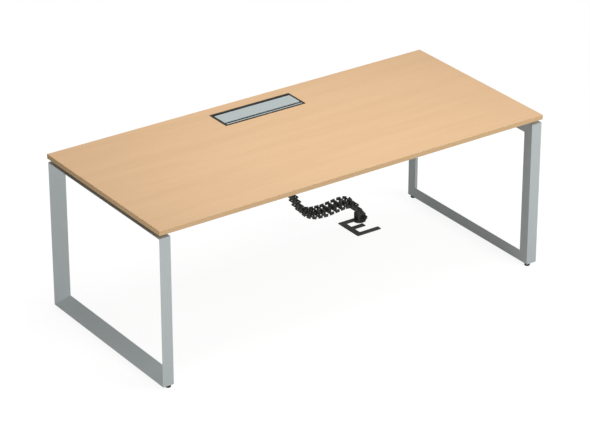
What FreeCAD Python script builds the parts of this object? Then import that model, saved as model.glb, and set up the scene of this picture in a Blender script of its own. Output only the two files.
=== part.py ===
import FreeCAD, Part
import Sketcher
import math
import os

# Office desk: a beech board on two closed steel loops, with a lidded power unit and a cable chain below it.
# Millimetres and degrees. The origin is on the floor under the middle of the board; +X runs along the board's
# length, -Y is the sitter's side and +Z is up.

doc = FreeCAD.newDocument("office_desk")
Vector = FreeCAD.Vector
Rotation = FreeCAD.Rotation
X_AXIS = Vector(1, 0, 0)
Y_AXIS = Vector(0, 1, 0)
Z_AXIS = Vector(0, 0, 1)

# Driving dimensions
DRIVING = {
    # board
    "desk_length": 2000,
    "desk_depth": 900,
    "desk_height": 745,
    "top_thickness": 22,
    "band_thickness": 2,
    "band_round": 1,
    # steel loops of three-sided tube
    "loop_end_inset": 0,
    "loop_face_inset": 4,
    "tube_face": 55,
    "tube_reach": 54,
    "tube_wall": 2,
    "tube_round": 1,
    "top_gap": 16,
    "spacer_diameter": 24,
    "spacer_stem": 8,
    "spacer_stem_length": 9,
    "spacer_spread": 600,
    # levelling glides
    "glide_height": 15,
    "glide_inset": 18,
    "pad_diameter": 25,
    "pad_height": 9,
    "pad_round": 2,
    "collar_across": 16,
    "stud_diameter": 8,
    "stud_length": 24,
    "nut_across": 15,
    "nut_height": 8,
    # beams under the board
    "beam_width": 30,
    "beam_height": 50,
    "beam_wall": 2,
    "beam_inset": 250,
    "bracket_thickness": 5,
    "bracket_width": 72,
    "bracket_height": 46,
    "bracket_drop": 2,
    "bolt_spread": 50,
    "bolt_diameter": 8,
    "bolt_length": 18,
    "bolt_head_across": 15,
    "bolt_head_height": 5.3,
    "screw_diameter": 4,
    "screw_length": 16,
    "screw_head_diameter": 8,
    "screw_head_height": 3,
    "screw_access": 12,
    "screw_spread": 640,
    # power unit let into the board
    "unit_length": 424,
    "unit_depth": 134,
    "unit_back_gap": 66,
    "flange_thickness": 2.5,
    "front_bridge": 15.5,
    "back_border": 8,
    "side_gap": 1,
    "skirt_wall": 2.5,
    "skirt_depth": 18,
    "lid_length": 402,
    "lid_depth": 82.5,
    "lid_thickness": 4,
    "hinge_gap": 14.5,
    "hinge_setback": 5,
    "hinge_drop": 4.5,
    "hinge_pin_diameter": 4,
    "arm_width": 9,
    "arm_inset": 5,
    "arm_length": 14,
    "arm_radius": 4,
    "ledge_width": 3.5,
    "ledge_thickness": 3,
    "strip_width": 7,
    "strip_thickness": 1.5,
    "brush_gap": 0.6,
    "brush_depth": 8,
    "brush_below": 1,
    # tray and sockets below the unit
    "tray_depth": 110,
    "tray_wall": 1.5,
    "tray_margin": 1.5,
    "tray_flange": 20,
    "tray_screw_spread": 80,
    "cable_slot_length": 60,
    "cable_slot_width": 50,
    "cable_slot_front": 20,
    "bar_length": 260,
    "bar_width": 50,
    "bar_height": 42,
    "bar_shift": 40,
    "bar_front": 11,
    "socket_spacing": 80,
    "socket_diameter": 42,
    "socket_recess": 18,
    "socket_wall": 2,
    "socket_floor": 4,
    "socket_pin_hole": 5,
    "socket_pin_spread": 19,
    "inlet_length": 10,
    "inlet_width": 26,
    "inlet_height": 20,
    # cable chain
    "chain_inset": 9,
    "link_pitch": 31.5,
    "link_width": 66,
    "link_height": 38,
    "link_web": 6,
    "link_web_height": 28,
    "link_hook": 6,
    "link_hook_height": 14,
    "link_hook_reach": 15,
    "link_round": 2,
    "window_inner": 13,
    "window_outer": 22,
    "window_height": 18,
    "tongue_width": 10,
    "tongue_height": 10,
    "knuckle_radius": 7,
    "cheek_thickness": 5,
    "stub_diameter": 6,
    "stub_length": 19,
    "hinge_clearance": 0.3,
    "ankle_angle": 52,
    "shin_angle": 66,
    "knee_angle": 48,
    "brow_angle": 20,
    "crest_angle": 3,
    "rise_links": 3,
    "rise_angle": 6,
    "low_links": 2,
    "low_angle": 4,
    "sweep_links": 4,
    "steep_links": 3,
    "climb_links": 9,
    "climb_angle": 4,
    # hanger under the tray
    "hanger_inset": 56.5,
    "hanger_drop": 63.4,
    "hanger_plate": 3,
    "hanger_length": 50,
    "hanger_ahead": 34,
    "hanger_behind": 8,
    "hanger_neck": 10,
    "hanger_bolt_diameter": 5,
    "hanger_bolt_spread": 34,
    "hanger_bolt_ahead": 24,
    "hanger_bolt_length": 7,
    "hanger_head_diameter": 9,
    "hanger_head_height": 3,
    # ankle and floor plate
    "ankle_width": 28,
    "ankle_thickness": 40,
    "ankle_toe": 11,
    "ankle_toe_depth": 16,
    "ankle_gap": 1,
    "pivot_height": 30,
    "clevis_diameter": 48,
    "clevis_flats": 40,
    "clevis_behind": 7,
    "clevis_height": 38,
    "clevis_floor": 3,
    "ankle_pin_diameter": 8,
    "pin_head_diameter": 14,
    "pin_head_height": 3,
    "knob_collar_diameter": 12,
    "knob_collar_length": 8,
    "knob_diameter": 24,
    "knob_height": 14,
    "knob_lever": 7,
    "knob_lever_length": 22,
    "knob_flutes": 8,
    "knob_flute_diameter": 6,
    "plate_thickness": 5,
    "plate_length": 157,
    "plate_bar": 28,
    "prong_width": 24,
    "back_prong_width": 24.5,
    "bar_to_foot": 107,
    "front_prong_past": 25,
    "mid_prong_short": 15,
    "landing_diameter": 56,
    # running clearance of a bolt, screw or stud in its hole, all round
    "hole_clearance": 0.25,
}


class Size:
    """A length that carries both its number and the sheet expression that gives it."""

    def __init__(self, value, text):
        self.value = value
        self.text = text

    def __add__(self, other):
        other = as_size(other)
        return Size(self.value + other.value, f"({self.text} + {other.text})")

    __radd__ = __add__

    def __sub__(self, other):
        other = as_size(other)
        return Size(self.value - other.value, f"({self.text} - {other.text})")

    def __rsub__(self, other):
        return as_size(other) - self

    def __mul__(self, other):
        other = as_size(other)
        return Size(self.value * other.value, f"({self.text} * {other.text})")

    __rmul__ = __mul__

    def __truediv__(self, other):
        other = as_size(other)
        return Size(self.value / other.value, f"({self.text} / {other.text})")

    def __neg__(self):
        return 0 - self


def as_size(number):
    return number if isinstance(number, Size) else Size(float(number), str(float(number)))


def root(size):
    return Size(math.sqrt(size.value), f"sqrt({size.text})")


sheet = doc.addObject("Spreadsheet::Sheet", "Sizes")
dim = {}
for row, (alias, number) in enumerate(DRIVING.items(), start=1):
    sheet.set(f"A{row}", alias)
    sheet.set(f"B{row}", str(number))
    sheet.setAlias(f"B{row}", alias)
    dim[alias] = Size(float(number), f"Sizes.{alias}")
doc.recompute()

# A cutting tool passes the faces that it cuts through by this much
OVERCUT = 1.0


# Helpers for bound solids
def bind(thing, field, size):
    thing.setExpression(field, as_size(size).text)


def place(thing, base, rotation=Rotation()):
    """Turns a solid, then binds where its own origin stands."""
    thing.Placement = FreeCAD.Placement(Vector(), rotation)
    for axis, size in zip("xyz", base):
        bind(thing, f"Placement.Base.{axis}", size)
    return thing


def box(name, low, span):
    solid = doc.addObject("Part::Box", name)
    for field, size in zip(("Length", "Width", "Height"), span):
        bind(solid, field, size)
    return place(solid, low)


def cylinder(name, base, axis, diameter, height):
    solid = doc.addObject("Part::Cylinder", name)
    bind(solid, "Radius", as_size(diameter) / 2)
    bind(solid, "Height", height)
    return place(solid, base, Rotation(Z_AXIS, axis))


def hexagon(name, base, axis, across, height):
    """A six-sided prism measured across its flats."""
    solid = doc.addObject("Part::Prism", name)
    solid.Polygon = 6
    bind(solid, "Circumradius", across / math.sqrt(3))
    bind(solid, "Height", height)
    return place(solid, base, Rotation(Z_AXIS, axis))


def fuse(name, *solids):
    whole = doc.addObject("Part::MultiFuse", name)
    whole.Shapes = list(solids)
    whole.Refine = True
    return whole


def cut(name, base, *tools):
    left = doc.addObject("Part::Cut", name)
    left.Base = base
    left.Tool = tools[0] if len(tools) == 1 else fuse(f"{name}_tools", *tools)
    return left


def group(name, solids):
    bundle = doc.addObject("Part::Compound", name)
    bundle.Links = list(solids)
    return bundle


def copy_at(name, master, placement):
    """One more of a repeated piece, standing at its own place."""
    twin = group(name, [master])
    twin.Placement = placement
    return twin


def origin_plane(body, role):
    return next(f for f in body.Origin.OriginFeatures if f.Role == role)


def outline(body, name, role, *loops):
    """A sketch of closed polygons on one of the body's origin planes, every corner bound both ways."""
    sketch = body.newObject("Sketcher::SketchObject", name)
    sketch.AttachmentSupport = (origin_plane(body, role), [""])
    sketch.MapMode = "FlatFace"
    for corners in loops:
        first = sketch.GeometryCount
        points = [(as_size(a), as_size(b)) for a, b in corners]
        count = len(points)
        for here, there in zip(points, points[1:] + points[:1]):
            start = Vector(here[0].value, here[1].value, 0)
            end = Vector(there[0].value, there[1].value, 0)
            sketch.addGeometry(Part.LineSegment(start, end), False)
        for side in range(count):
            follower = first + (side + 1) % count
            sketch.addConstraint(Sketcher.Constraint("Coincident", first + side, 2, follower, 1))
        for side, corner in enumerate(points):
            for kind, size in zip(("DistanceX", "DistanceY"), corner):
                rule = Sketcher.Constraint(kind, -1, 1, first + side, 1, size.value)
                index = sketch.addConstraint(rule)
                bind(sketch, f"Constraints[{index}]", size)
    return sketch


def pad(body, name, sketch, length):
    feature = body.newObject("PartDesign::Pad", name)
    feature.Profile = sketch
    bind(feature, "Length", length)
    return feature


def turned(body, name, sketch):
    """A full turn of a half outline drawn on the XZ plane, about Z."""
    feature = body.newObject("PartDesign::Revolution", name)
    feature.Profile = sketch
    feature.ReferenceAxis = (sketch, ["V_Axis"])
    feature.Angle = 360
    return feature


def round_edges(body, name, base, radius, wanted):
    """Rounds the edges of the last feature whose middle point the test wanted picks out."""
    doc.recompute()
    edges = []
    for number, edge in enumerate(base.Shape.Edges, start=1):
        if wanted(edge.CenterOfMass):
            edges.append(f"Edge{number}")
    feature = body.newObject("PartDesign::Fillet", name)
    feature.Base = (base, edges)
    bind(feature, "Radius", radius)
    return feature


def near(a, b):
    return abs(a - b) < 1e-4


nodes = {}


def node(name, solid):
    solid.Label = name
    nodes[name] = solid
    return solid


# Shared places, worked out from the driving dimensions
half_length = dim["desk_length"] / 2
half_depth = dim["desk_depth"] / 2
top_under = dim["desk_height"] - dim["top_thickness"]
loop_bottom = dim["glide_height"]
loop_top = top_under - dim["top_gap"]
loop_height = loop_top - loop_bottom
loop_outer = half_length - dim["loop_end_inset"]
loop_inner = loop_outer - dim["tube_face"]
loop_front = half_depth - dim["loop_face_inset"]
loop_depth = loop_front * 2
beam_line = half_depth - dim["beam_inset"]
beam_end = loop_inner - dim["bracket_thickness"]
clearance = dim["hole_clearance"]
SIDES = (("left", -1), ("right", 1))
ENDS = (("front", -1), ("back", 1))

unit_back = half_depth - dim["unit_back_gap"]
unit_front = unit_back - dim["unit_depth"]
opening_front = unit_front + dim["front_bridge"]
opening_back = unit_back - dim["back_border"]
opening_half = dim["lid_length"] / 2 + dim["side_gap"]
hole_margin = dim["skirt_wall"] + dim["side_gap"]
hole_half = opening_half + hole_margin
hole_front = opening_front - hole_margin
hole_back = opening_back + hole_margin
flange_top = dim["desk_height"] + dim["flange_thickness"]
lid_front = opening_front + dim["hinge_gap"]
lid_back = lid_front + dim["lid_depth"]
lid_under = flange_top - dim["lid_thickness"]
hinge_y = lid_front - dim["hinge_setback"]
hinge_z = lid_under - dim["hinge_drop"]

tray_half = hole_half + dim["tray_margin"]
tray_front = hole_front - dim["tray_margin"]
tray_back = hole_back + dim["tray_margin"]
tray_floor = top_under - dim["tray_depth"]
tray_screw_x = tray_half + dim["tray_wall"] + dim["tray_flange"] / 2
tray_middle = (tray_front + tray_back) / 2


# Wood screws that hold the board: three up through each beam and two in each end of the tray
def screw_places():
    """Where each screw's head stands, with the thickness of metal over it."""
    places = []
    for _, end in ENDS:
        for step in (-1, 0, 1):
            places.append((dim["screw_spread"] * step, beam_line * end, dim["beam_wall"]))
    for _, side in SIDES:
        for step in (-1, 1):
            y = tray_middle + dim["tray_screw_spread"] / 2 * step
            places.append((tray_screw_x * side, y, dim["tray_wall"]))
    return places


def screw_holes(label, low, depth, diameter, chosen):
    holes = []
    for number, (x, y, _) in enumerate(chosen, start=1):
        holes.append(cylinder(f"{label}_{number}", (x, y, low), Z_AXIS, diameter, depth))
    return holes


def wood_screws():
    body = doc.addObject("PartDesign::Body", "screw_blank")
    head = dim["screw_head_diameter"] / 2
    shank = dim["screw_diameter"] / 2
    length = dim["screw_length"] + dim["screw_head_height"]
    half = (
        (0, 0),
        (head, 0),
        (head, dim["screw_head_height"]),
        (shank, dim["screw_head_height"]),
        (shank, length - dim["screw_diameter"]),
        (0, length),
    )
    turned(body, "screw_turn", outline(body, "screw_half", "XZ_Plane", half))
    screws = []
    for number, (x, y, metal) in enumerate(screw_places(), start=1):
        screw = group(f"screw_{number}", [body])
        screws.append(place(screw, (x, y, top_under - metal - dim["screw_head_height"])))
    node("wood_screws", group("all_screws", screws))


# Board and its edge bands
def desktop_board():
    band = dim["band_thickness"]
    low = (band - half_length, band - half_depth, top_under)
    span = (dim["desk_length"] - band * 2, dim["desk_depth"] - band * 2, dim["top_thickness"])
    core = box("board_core", low, span)
    hole_low = (-hole_half, hole_front, top_under - OVERCUT)
    hole_span = (hole_half * 2, hole_back - hole_front, dim["top_thickness"] + 2 * OVERCUT)
    depth = dim["screw_length"] + OVERCUT
    pilots = screw_holes(
        "board_pilot", top_under - OVERCUT, depth, dim["screw_diameter"] + clearance * 2, screw_places()
    )
    node("desktop_board", cut("board_cut", core, box("unit_hole", hole_low, hole_span), *pilots))


def edge_band(name, length, base, turn):
    """A strip along X whose outer face is at y = 0, with both outer long edges rounded."""
    body = doc.addObject("PartDesign::Body", name)
    depth = dim["band_thickness"]
    height = dim["top_thickness"]
    section = ((0, 0), (depth, 0), (depth, height), (0, height))
    strip = pad(body, f"{name}_pad", outline(body, f"{name}_section", "YZ_Plane", section), length)
    along = length.value / 2
    round_edges(body, f"{name}_round", strip, dim["band_round"], lambda c: near(c.x, along) and near(c.y, 0))
    return place(body, base, Rotation(Z_AXIS, turn))


def edge_bands():
    band = dim["band_thickness"]
    short = dim["desk_depth"] - band * 2
    bands = (
        edge_band("band_front", dim["desk_length"], (-half_length, -half_depth, top_under), 0),
        edge_band("band_back", dim["desk_length"], (half_length, half_depth, top_under), 180),
        edge_band("band_left", short, (-half_length, half_depth - band, top_under), -90),
        edge_band("band_right", short, (half_length, band - half_depth, top_under), 90),
    )
    node("edge_bands", group("all_bands", bands))


# Loops: mitred lengths of hollow three-sided tube
def mitred_tube(name, length):
    """Tube along Z: flat rim face at y = 0, flat inner side at x = tube_face, and a slope between them."""
    face = dim["tube_face"]
    reach = dim["tube_reach"]
    wall = dim["tube_wall"]
    slope = reach / face
    slope_wall = wall * root(slope * slope + 1)
    body = doc.addObject("PartDesign::Body", f"{name}_stock")
    outer = ((0, 0), (face, 0), (face, reach))
    inner = (
        ((wall + slope_wall) / slope, wall),
        (face - wall, wall),
        (face - wall, slope * (face - wall) - slope_wall),
    )
    section = outline(body, f"{name}_section", "XY_Plane", outer, inner)
    stock = pad(body, f"{name}_pad", section, length)
    middle = length.value / 2
    corners = [(a if a == 0 else a.value, b if b == 0 else b.value) for a, b in outer]

    def on_corner(c):
        return near(c.z, middle) and any(near(c.x, a) and near(c.y, b) for a, b in corners)

    round_edges(body, f"{name}_round", stock, dim["tube_round"], on_corner)
    mitres = []
    for label, height in (("low", as_size(0)), ("high", length)):
        wedge = box(f"{name}_{label}_mitre", (0, 0, 0), (face + 2 * OVERCUT, reach * 2, reach * 2))
        mitres.append(place(wedge, (-OVERCUT, 0, height), Rotation(X_AXIS, -45)))
    return cut(f"{name}_mitred", body, *mitres)


def loop_tubes(side_name, side):
    """Four tubes of one loop. The right loop is the left one turned half round about Z."""
    half_turn = Rotation(Z_AXIS, 0 if side < 0 else 180)
    x = loop_outer * side
    for end_name, end in ENDS:
        post = mitred_tube(f"{side_name}_{end_name}_post", loop_height)
        upright = end * side > 0
        base = (x, loop_front * end, loop_bottom if upright else loop_top)
        place(post, base, half_turn.multiply(Rotation(X_AXIS, 0 if upright else 180)))
        node(f"{side_name}_{end_name}_post", post)
    low = mitred_tube(f"{side_name}_bottom_rail", loop_depth)
    place(low, (x, loop_front * -side, loop_bottom), half_turn.multiply(Rotation(X_AXIS, 90)))
    holes = []
    for end_name, end in ENDS:
        where = ((loop_inner + dim["glide_inset"]) * side, (loop_front - dim["glide_inset"]) * end)
        base = (where[0], where[1], loop_bottom - OVERCUT)
        across = dim["stud_diameter"] + clearance * 2
        name = f"{side_name}_{end_name}_stud_hole"
        holes.append(cylinder(name, base, Z_AXIS, across, dim["tube_wall"] + 2 * OVERCUT))
    node(f"{side_name}_bottom_rail", cut(f"{side_name}_bottom_drilled", low, *holes))
    high = mitred_tube(f"{side_name}_top_rail", loop_depth)
    place(high, (x, loop_front * side, loop_top), half_turn.multiply(Rotation(X_AXIS, -90)))
    holes = []
    for end_name, end in ENDS:
        base = (spacer_x * side, dim["spacer_spread"] / 2 * end, loop_top - dim["tube_wall"] - OVERCUT)
        across = dim["spacer_stem"] + clearance * 2
        name = f"{side_name}_{end_name}_spacer_hole"
        holes.append(cylinder(name, base, Z_AXIS, across, dim["tube_wall"] + 2 * OVERCUT))
        for step in (-1, 1):
            y = beam_line * end + dim["bolt_spread"] / 2 * step
            base = ((loop_inner - OVERCUT) * side, y, bolt_z)
            across = dim["bolt_diameter"] + clearance * 2
            name = f"{side_name}_{end_name}_bolt_hole"
            holes.append(cylinder(name, base, X_AXIS * side, across, dim["tube_wall"] + 2 * OVERCUT))
    node(f"{side_name}_top_rail", cut(f"{side_name}_top_drilled", high, *holes))


spacer_x = loop_inner + dim["tube_face"] / 2
bracket_top = loop_top - dim["bracket_drop"]
bracket_bottom = bracket_top - dim["bracket_height"]
bolt_z = (bracket_top + bracket_bottom) / 2


def rail_spacers():
    """Black plugs pressed into the top rails: they carry the board's ends and make the shadow gap."""
    spacers = []
    for side_name, side in SIDES:
        for end_name, end in ENDS:
            x = spacer_x * side
            y = dim["spacer_spread"] / 2 * end
            name = f"{side_name}_{end_name}_spacer"
            disc = cylinder(f"{name}_disc", (x, y, loop_top), Z_AXIS, dim["spacer_diameter"], dim["top_gap"])
            low = loop_top - dim["spacer_stem_length"]
            length = dim["spacer_stem_length"] + dim["top_gap"] / 2
            stem = cylinder(f"{name}_stem", (x, y, low), Z_AXIS, dim["spacer_stem"], length)
            spacers.append(fuse(name, disc, stem))
    node("rail_spacers", group("all_spacers", spacers))


# Levelling glides and the nuts welded inside the loops for them
def levelling_glides():
    body = doc.addObject("PartDesign::Body", "glide_turned")
    pad_edge = dim["pad_diameter"] / 2
    stud = dim["stud_diameter"] / 2
    soft = dim["pad_round"]
    half = (
        (0, 0),
        (pad_edge - soft, 0),
        (pad_edge, soft),
        (pad_edge, dim["pad_height"] - soft),
        (pad_edge - soft, dim["pad_height"]),
        (stud, dim["pad_height"]),
        (stud, dim["glide_height"] + dim["stud_length"]),
        (0, dim["glide_height"] + dim["stud_length"]),
    )
    turned(body, "glide_turn", outline(body, "glide_half", "XZ_Plane", half))
    collar_low = dim["pad_height"] - dim["pad_round"]
    collar = hexagon(
        "glide_collar", (0, 0, collar_low), Z_AXIS, dim["collar_across"], dim["glide_height"] - collar_low
    )
    glide = fuse("glide_blank", body, collar)
    nut_solids = []
    for side_name, side in SIDES:
        for end_name, end in ENDS:
            x = (loop_inner + dim["glide_inset"]) * side
            y = (loop_front - dim["glide_inset"]) * end
            name = f"{side_name}_{end_name}"
            node(f"{name}_glide", place(group(f"{name}_glide_set", [glide]), (x, y, 0)))
            seat = loop_bottom + dim["tube_wall"]
            blank = hexagon(f"{name}_nut_blank", (x, y, seat), Z_AXIS, dim["nut_across"], dim["nut_height"])
            across = dim["stud_diameter"] + clearance * 2
            bore_low = (x, y, seat - OVERCUT)
            bore = cylinder(f"{name}_nut_bore", bore_low, Z_AXIS, across, dim["nut_height"] + 2 * OVERCUT)
            nut_solids.append(cut(f"{name}_nut", blank, bore))
    node("glide_nuts", group("all_nuts", nut_solids))


# Beams between the loops, with their end plates and bolts
def beams():
    wall = dim["beam_wall"]
    low_z = top_under - dim["beam_height"]
    for number, (end_name, end) in enumerate(ENDS):
        low_y = beam_line * end - dim["beam_width"] / 2
        outer_span = (beam_end * 2, dim["beam_width"], dim["beam_height"])
        outer = box(f"{end_name}_beam_outer", (-beam_end, low_y, low_z), outer_span)
        inner_low = (-beam_end - OVERCUT, low_y + wall, low_z + wall)
        inner_span = (beam_end * 2 + 2 * OVERCUT, dim["beam_width"] - wall * 2, dim["beam_height"] - wall * 2)
        inner = box(f"{end_name}_beam_inner", inner_low, inner_span)
        mine = screw_places()[number * 3 : number * 3 + 3]
        depth = wall + 2 * OVERCUT
        access = screw_holes(f"{end_name}_access", low_z - OVERCUT, depth, dim["screw_access"], mine)
        across = dim["screw_diameter"] + clearance * 2
        pilots = screw_holes(f"{end_name}_pilot", top_under - wall - OVERCUT, depth, across, mine)
        node(f"{end_name}_beam", cut(f"{end_name}_beam_cut", outer, inner, *access, *pilots))


def beam_brackets_and_bolts():
    brackets = []
    bolts = []
    across = dim["bolt_diameter"] + clearance * 2
    for side_name, side in SIDES:
        face = beam_end if side > 0 else -loop_inner
        for end_name, end in ENDS:
            name = f"{side_name}_{end_name}"
            low = (face, beam_line * end - dim["bracket_width"] / 2, bracket_bottom)
            span = (dim["bracket_thickness"], dim["bracket_width"], dim["bracket_height"])
            holes = []
            for step in (-1, 1):
                y = beam_line * end + dim["bolt_spread"] / 2 * step
                hole_base = (beam_end * side - OVERCUT * side, y, bolt_z)
                depth = dim["bracket_thickness"] + 2 * OVERCUT
                holes.append(cylinder(f"{name}_plate_hole", hole_base, X_AXIS * side, across, depth))
                head_base = ((beam_end - dim["bolt_head_height"]) * side, y, bolt_z)
                head_height = dim["bolt_head_height"]
                head_across = dim["bolt_head_across"]
                head = hexagon(f"{name}_bolt_head", head_base, X_AXIS * side, head_across, head_height)
                length = head_height + dim["bolt_length"]
                shank = cylinder(f"{name}_bolt_shank", head_base, X_AXIS * side, dim["bolt_diameter"], length)
                bolts.append(fuse(f"{name}_bolt", head, shank))
            brackets.append(cut(f"{name}_bracket", box(f"{name}_plate", low, span), *holes))
    node("beam_brackets", group("all_brackets", brackets))
    node("beam_bolts", group("all_bolts", bolts))


# Power unit: frame, lid, hinge pins, front strip and brush
def unit_frame():
    top = dim["desk_height"]
    flange_span = (dim["unit_length"], dim["unit_depth"], dim["flange_thickness"])
    flange = box("frame_flange", (dim["unit_length"] / -2, unit_front, top), flange_span)
    wall = dim["skirt_wall"]
    skirt_low = (-opening_half - wall, opening_front - wall, top - dim["skirt_depth"])
    skirt_span = ((opening_half + wall) * 2, opening_back - opening_front + wall * 2, dim["skirt_depth"])
    skirt = box("frame_skirt", skirt_low, skirt_span)
    depth = dim["skirt_depth"] + dim["flange_thickness"] + 2 * OVERCUT
    opening_span = (opening_half * 2, opening_back - opening_front, depth)
    opening_low = (-opening_half, opening_front, top - dim["skirt_depth"] - OVERCUT)
    opening = box("frame_opening", opening_low, opening_span)
    recess_floor = flange_top - dim["strip_thickness"]
    recess_low = (dim["lid_length"] / -2, opening_front - dim["strip_width"], recess_floor)
    recess_span = (dim["lid_length"], dim["strip_width"], dim["strip_thickness"] + OVERCUT)
    recess = box("strip_recess", recess_low, recess_span)
    pin_hole_low = (-opening_half - wall - OVERCUT, hinge_y, hinge_z)
    pin_hole_length = (opening_half + wall + OVERCUT) * 2
    across = dim["hinge_pin_diameter"] + clearance * 2
    pin_hole = cylinder("frame_pin_hole", pin_hole_low, X_AXIS, across, pin_hole_length)
    hollow = cut("frame_hollow", fuse("frame_solid", flange, skirt), opening, recess, pin_hole)
    ledges = []
    ledge_front = lid_front + dim["arm_length"] + dim["arm_radius"]
    for side_name, side in SIDES:
        x = opening_half - dim["ledge_width"] if side > 0 else -opening_half
        low = (x, ledge_front, lid_under - dim["ledge_thickness"])
        span = (dim["ledge_width"], opening_back - ledge_front, dim["ledge_thickness"])
        ledges.append(box(f"{side_name}_ledge", low, span))
    node("unit_frame", fuse("frame_whole", hollow, *ledges))


def arm_start(side):
    """The lower X of a lid arm, which stands a little inside the lid's end."""
    outer = dim["lid_length"] / 2 - dim["arm_inset"]
    return outer - dim["arm_width"] if side > 0 else -outer


def unit_lid():
    plate_low = (dim["lid_length"] / -2, lid_front, lid_under)
    plate = box("lid_plate", plate_low, (dim["lid_length"], dim["lid_depth"], dim["lid_thickness"]))
    pieces = []
    holes = []
    for side_name, side in SIDES:
        x = arm_start(side)
        low = (x, hinge_y, hinge_z - dim["arm_radius"])
        reach = lid_front + dim["arm_length"] - hinge_y
        span = (dim["arm_width"], reach, lid_under - hinge_z + dim["arm_radius"])
        pieces.append(box(f"{side_name}_arm", low, span))
        base = (x, hinge_y, hinge_z)
        pieces.append(cylinder(f"{side_name}_barrel", base, X_AXIS, dim["arm_radius"] * 2, dim["arm_width"]))
        across = dim["hinge_pin_diameter"] + dim["hinge_clearance"] * 2
        hole_base = (x - OVERCUT, hinge_y, hinge_z)
        hole = cylinder(f"{side_name}_arm_hole", hole_base, X_AXIS, across, dim["arm_width"] + 2 * OVERCUT)
        holes.append(hole)
    node("unit_lid", cut("lid_bored", fuse("lid_solid", plate, *pieces), *holes))


def lid_hinge_pins():
    """Steel pins from inside each lid arm to the outer face of the frame's skirt."""
    pins = []
    outer = opening_half + dim["skirt_wall"]
    inner = dim["lid_length"] / 2 - dim["arm_inset"] - dim["arm_width"]
    for side_name, side in SIDES:
        base = (inner * side, hinge_y, hinge_z)
        across = dim["hinge_pin_diameter"]
        pins.append(cylinder(f"{side_name}_hinge_pin", base, X_AXIS * side, across, outer - inner))
    node("lid_hinge_pins", group("all_pins", pins))


def front_strip():
    low = (dim["lid_length"] / -2, opening_front - dim["strip_width"], flange_top - dim["strip_thickness"])
    node("front_strip", box("strip", low, (dim["lid_length"], dim["strip_width"], dim["strip_thickness"])))


def brush_strip():
    half = opening_half - dim["ledge_width"] - dim["side_gap"]
    front = lid_back + dim["brush_gap"]
    high = flange_top - dim["brush_below"]
    low = (-half, front, high - dim["brush_depth"])
    node("brush_strip", box("brush", low, (half * 2, opening_back - front, dim["brush_depth"])))


# Steel tray hung under the board, with a socket bar in it
def cable_tray():
    wall = dim["tray_wall"]
    depth = dim["tray_depth"]
    width = tray_back - tray_front
    outer_low = (-tray_half - wall, tray_front - wall, tray_floor)
    outer = box("tray_outer", outer_low, (tray_half * 2 + wall * 2, width + wall * 2, depth))
    lip = tray_half + wall + dim["tray_flange"]
    flange = box("tray_lips", (-lip, tray_front - wall, top_under - wall), (lip * 2, width + wall * 2, wall))
    inner_low = (-tray_half, tray_front, tray_floor + wall)
    inner = box("tray_inner", inner_low, (tray_half * 2, width, depth + OVERCUT))
    slot_front = tray_front + dim["cable_slot_front"]
    slot_low = (hanger_x - dim["cable_slot_length"] / 2, slot_front, tray_floor - OVERCUT)
    slot_span = (dim["cable_slot_length"], dim["cable_slot_width"], wall + 2 * OVERCUT)
    slot = box("tray_slot", slot_low, slot_span)
    across = dim["screw_diameter"] + clearance * 2
    drill = wall + 2 * OVERCUT
    holes = screw_holes("tray_pilot", top_under - wall - OVERCUT, drill, across, screw_places()[6:])
    bolt_across = dim["hanger_bolt_diameter"] + clearance * 2
    for number, (x, y) in enumerate(hanger_bolt_places(), start=1):
        base = (x, y, tray_floor - OVERCUT)
        holes.append(cylinder(f"tray_bolt_hole_{number}", base, Z_AXIS, bolt_across, drill))
    node("cable_tray", cut("tray_cut", fuse("tray_solid", outer, flange), inner, slot, *holes))


def socket_bar():
    floor = tray_floor + dim["tray_wall"]
    left = -dim["bar_shift"] - dim["bar_length"] / 2
    front = tray_front + dim["bar_front"]
    block = box("bar_block", (left, front, floor), (dim["bar_length"], dim["bar_width"], dim["bar_height"]))
    middle = front + dim["bar_width"] / 2
    seat = floor + dim["bar_height"] - dim["socket_recess"]
    inlet_low = (
        left - OVERCUT,
        middle - dim["inlet_width"] / 2,
        floor + (dim["bar_height"] - dim["inlet_height"]) / 2,
    )
    inlet_span = (dim["inlet_length"] + OVERCUT, dim["inlet_width"], dim["inlet_height"])
    tools = [box("bar_inlet", inlet_low, inlet_span)]
    cups = []
    for step in (-1, 0, 1):
        x = dim["socket_spacing"] * step - dim["bar_shift"]
        depth = dim["socket_recess"] + OVERCUT
        tools.append(cylinder("socket_recess", (x, middle, seat), Z_AXIS, dim["socket_diameter"], depth))
        across = dim["socket_diameter"] - clearance * 2
        cup = cylinder("cup_outer", (x, middle, seat), Z_AXIS, across, dim["socket_recess"])
        cup_low = (x, middle, seat + dim["socket_floor"])
        inner = across - dim["socket_wall"] * 2
        cup_tools = [cylinder("cup_inner", cup_low, Z_AXIS, inner, dim["socket_recess"])]
        for pin in (-1, 1):
            pin_base = (x + dim["socket_pin_spread"] / 2 * pin, middle, seat - OVERCUT)
            pin_depth = dim["socket_floor"] + 2 * OVERCUT
            cup_tools.append(cylinder("pin_hole", pin_base, Z_AXIS, dim["socket_pin_hole"], pin_depth))
        cups.append(cut("socket_cup", cup, *cup_tools))
    node("socket_bar", cut("bar_cut", block, *tools))
    node("socket_cups", group("all_cups", cups))


# Cable chain: headings are the way a link points as the chain runs down from the tray to the floor
chain_y = tray_back - dim["chain_inset"]
hanger_x = tray_half - dim["hanger_inset"]
foot_z = dim["pivot_height"]
STEEPEST = -90.0


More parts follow.
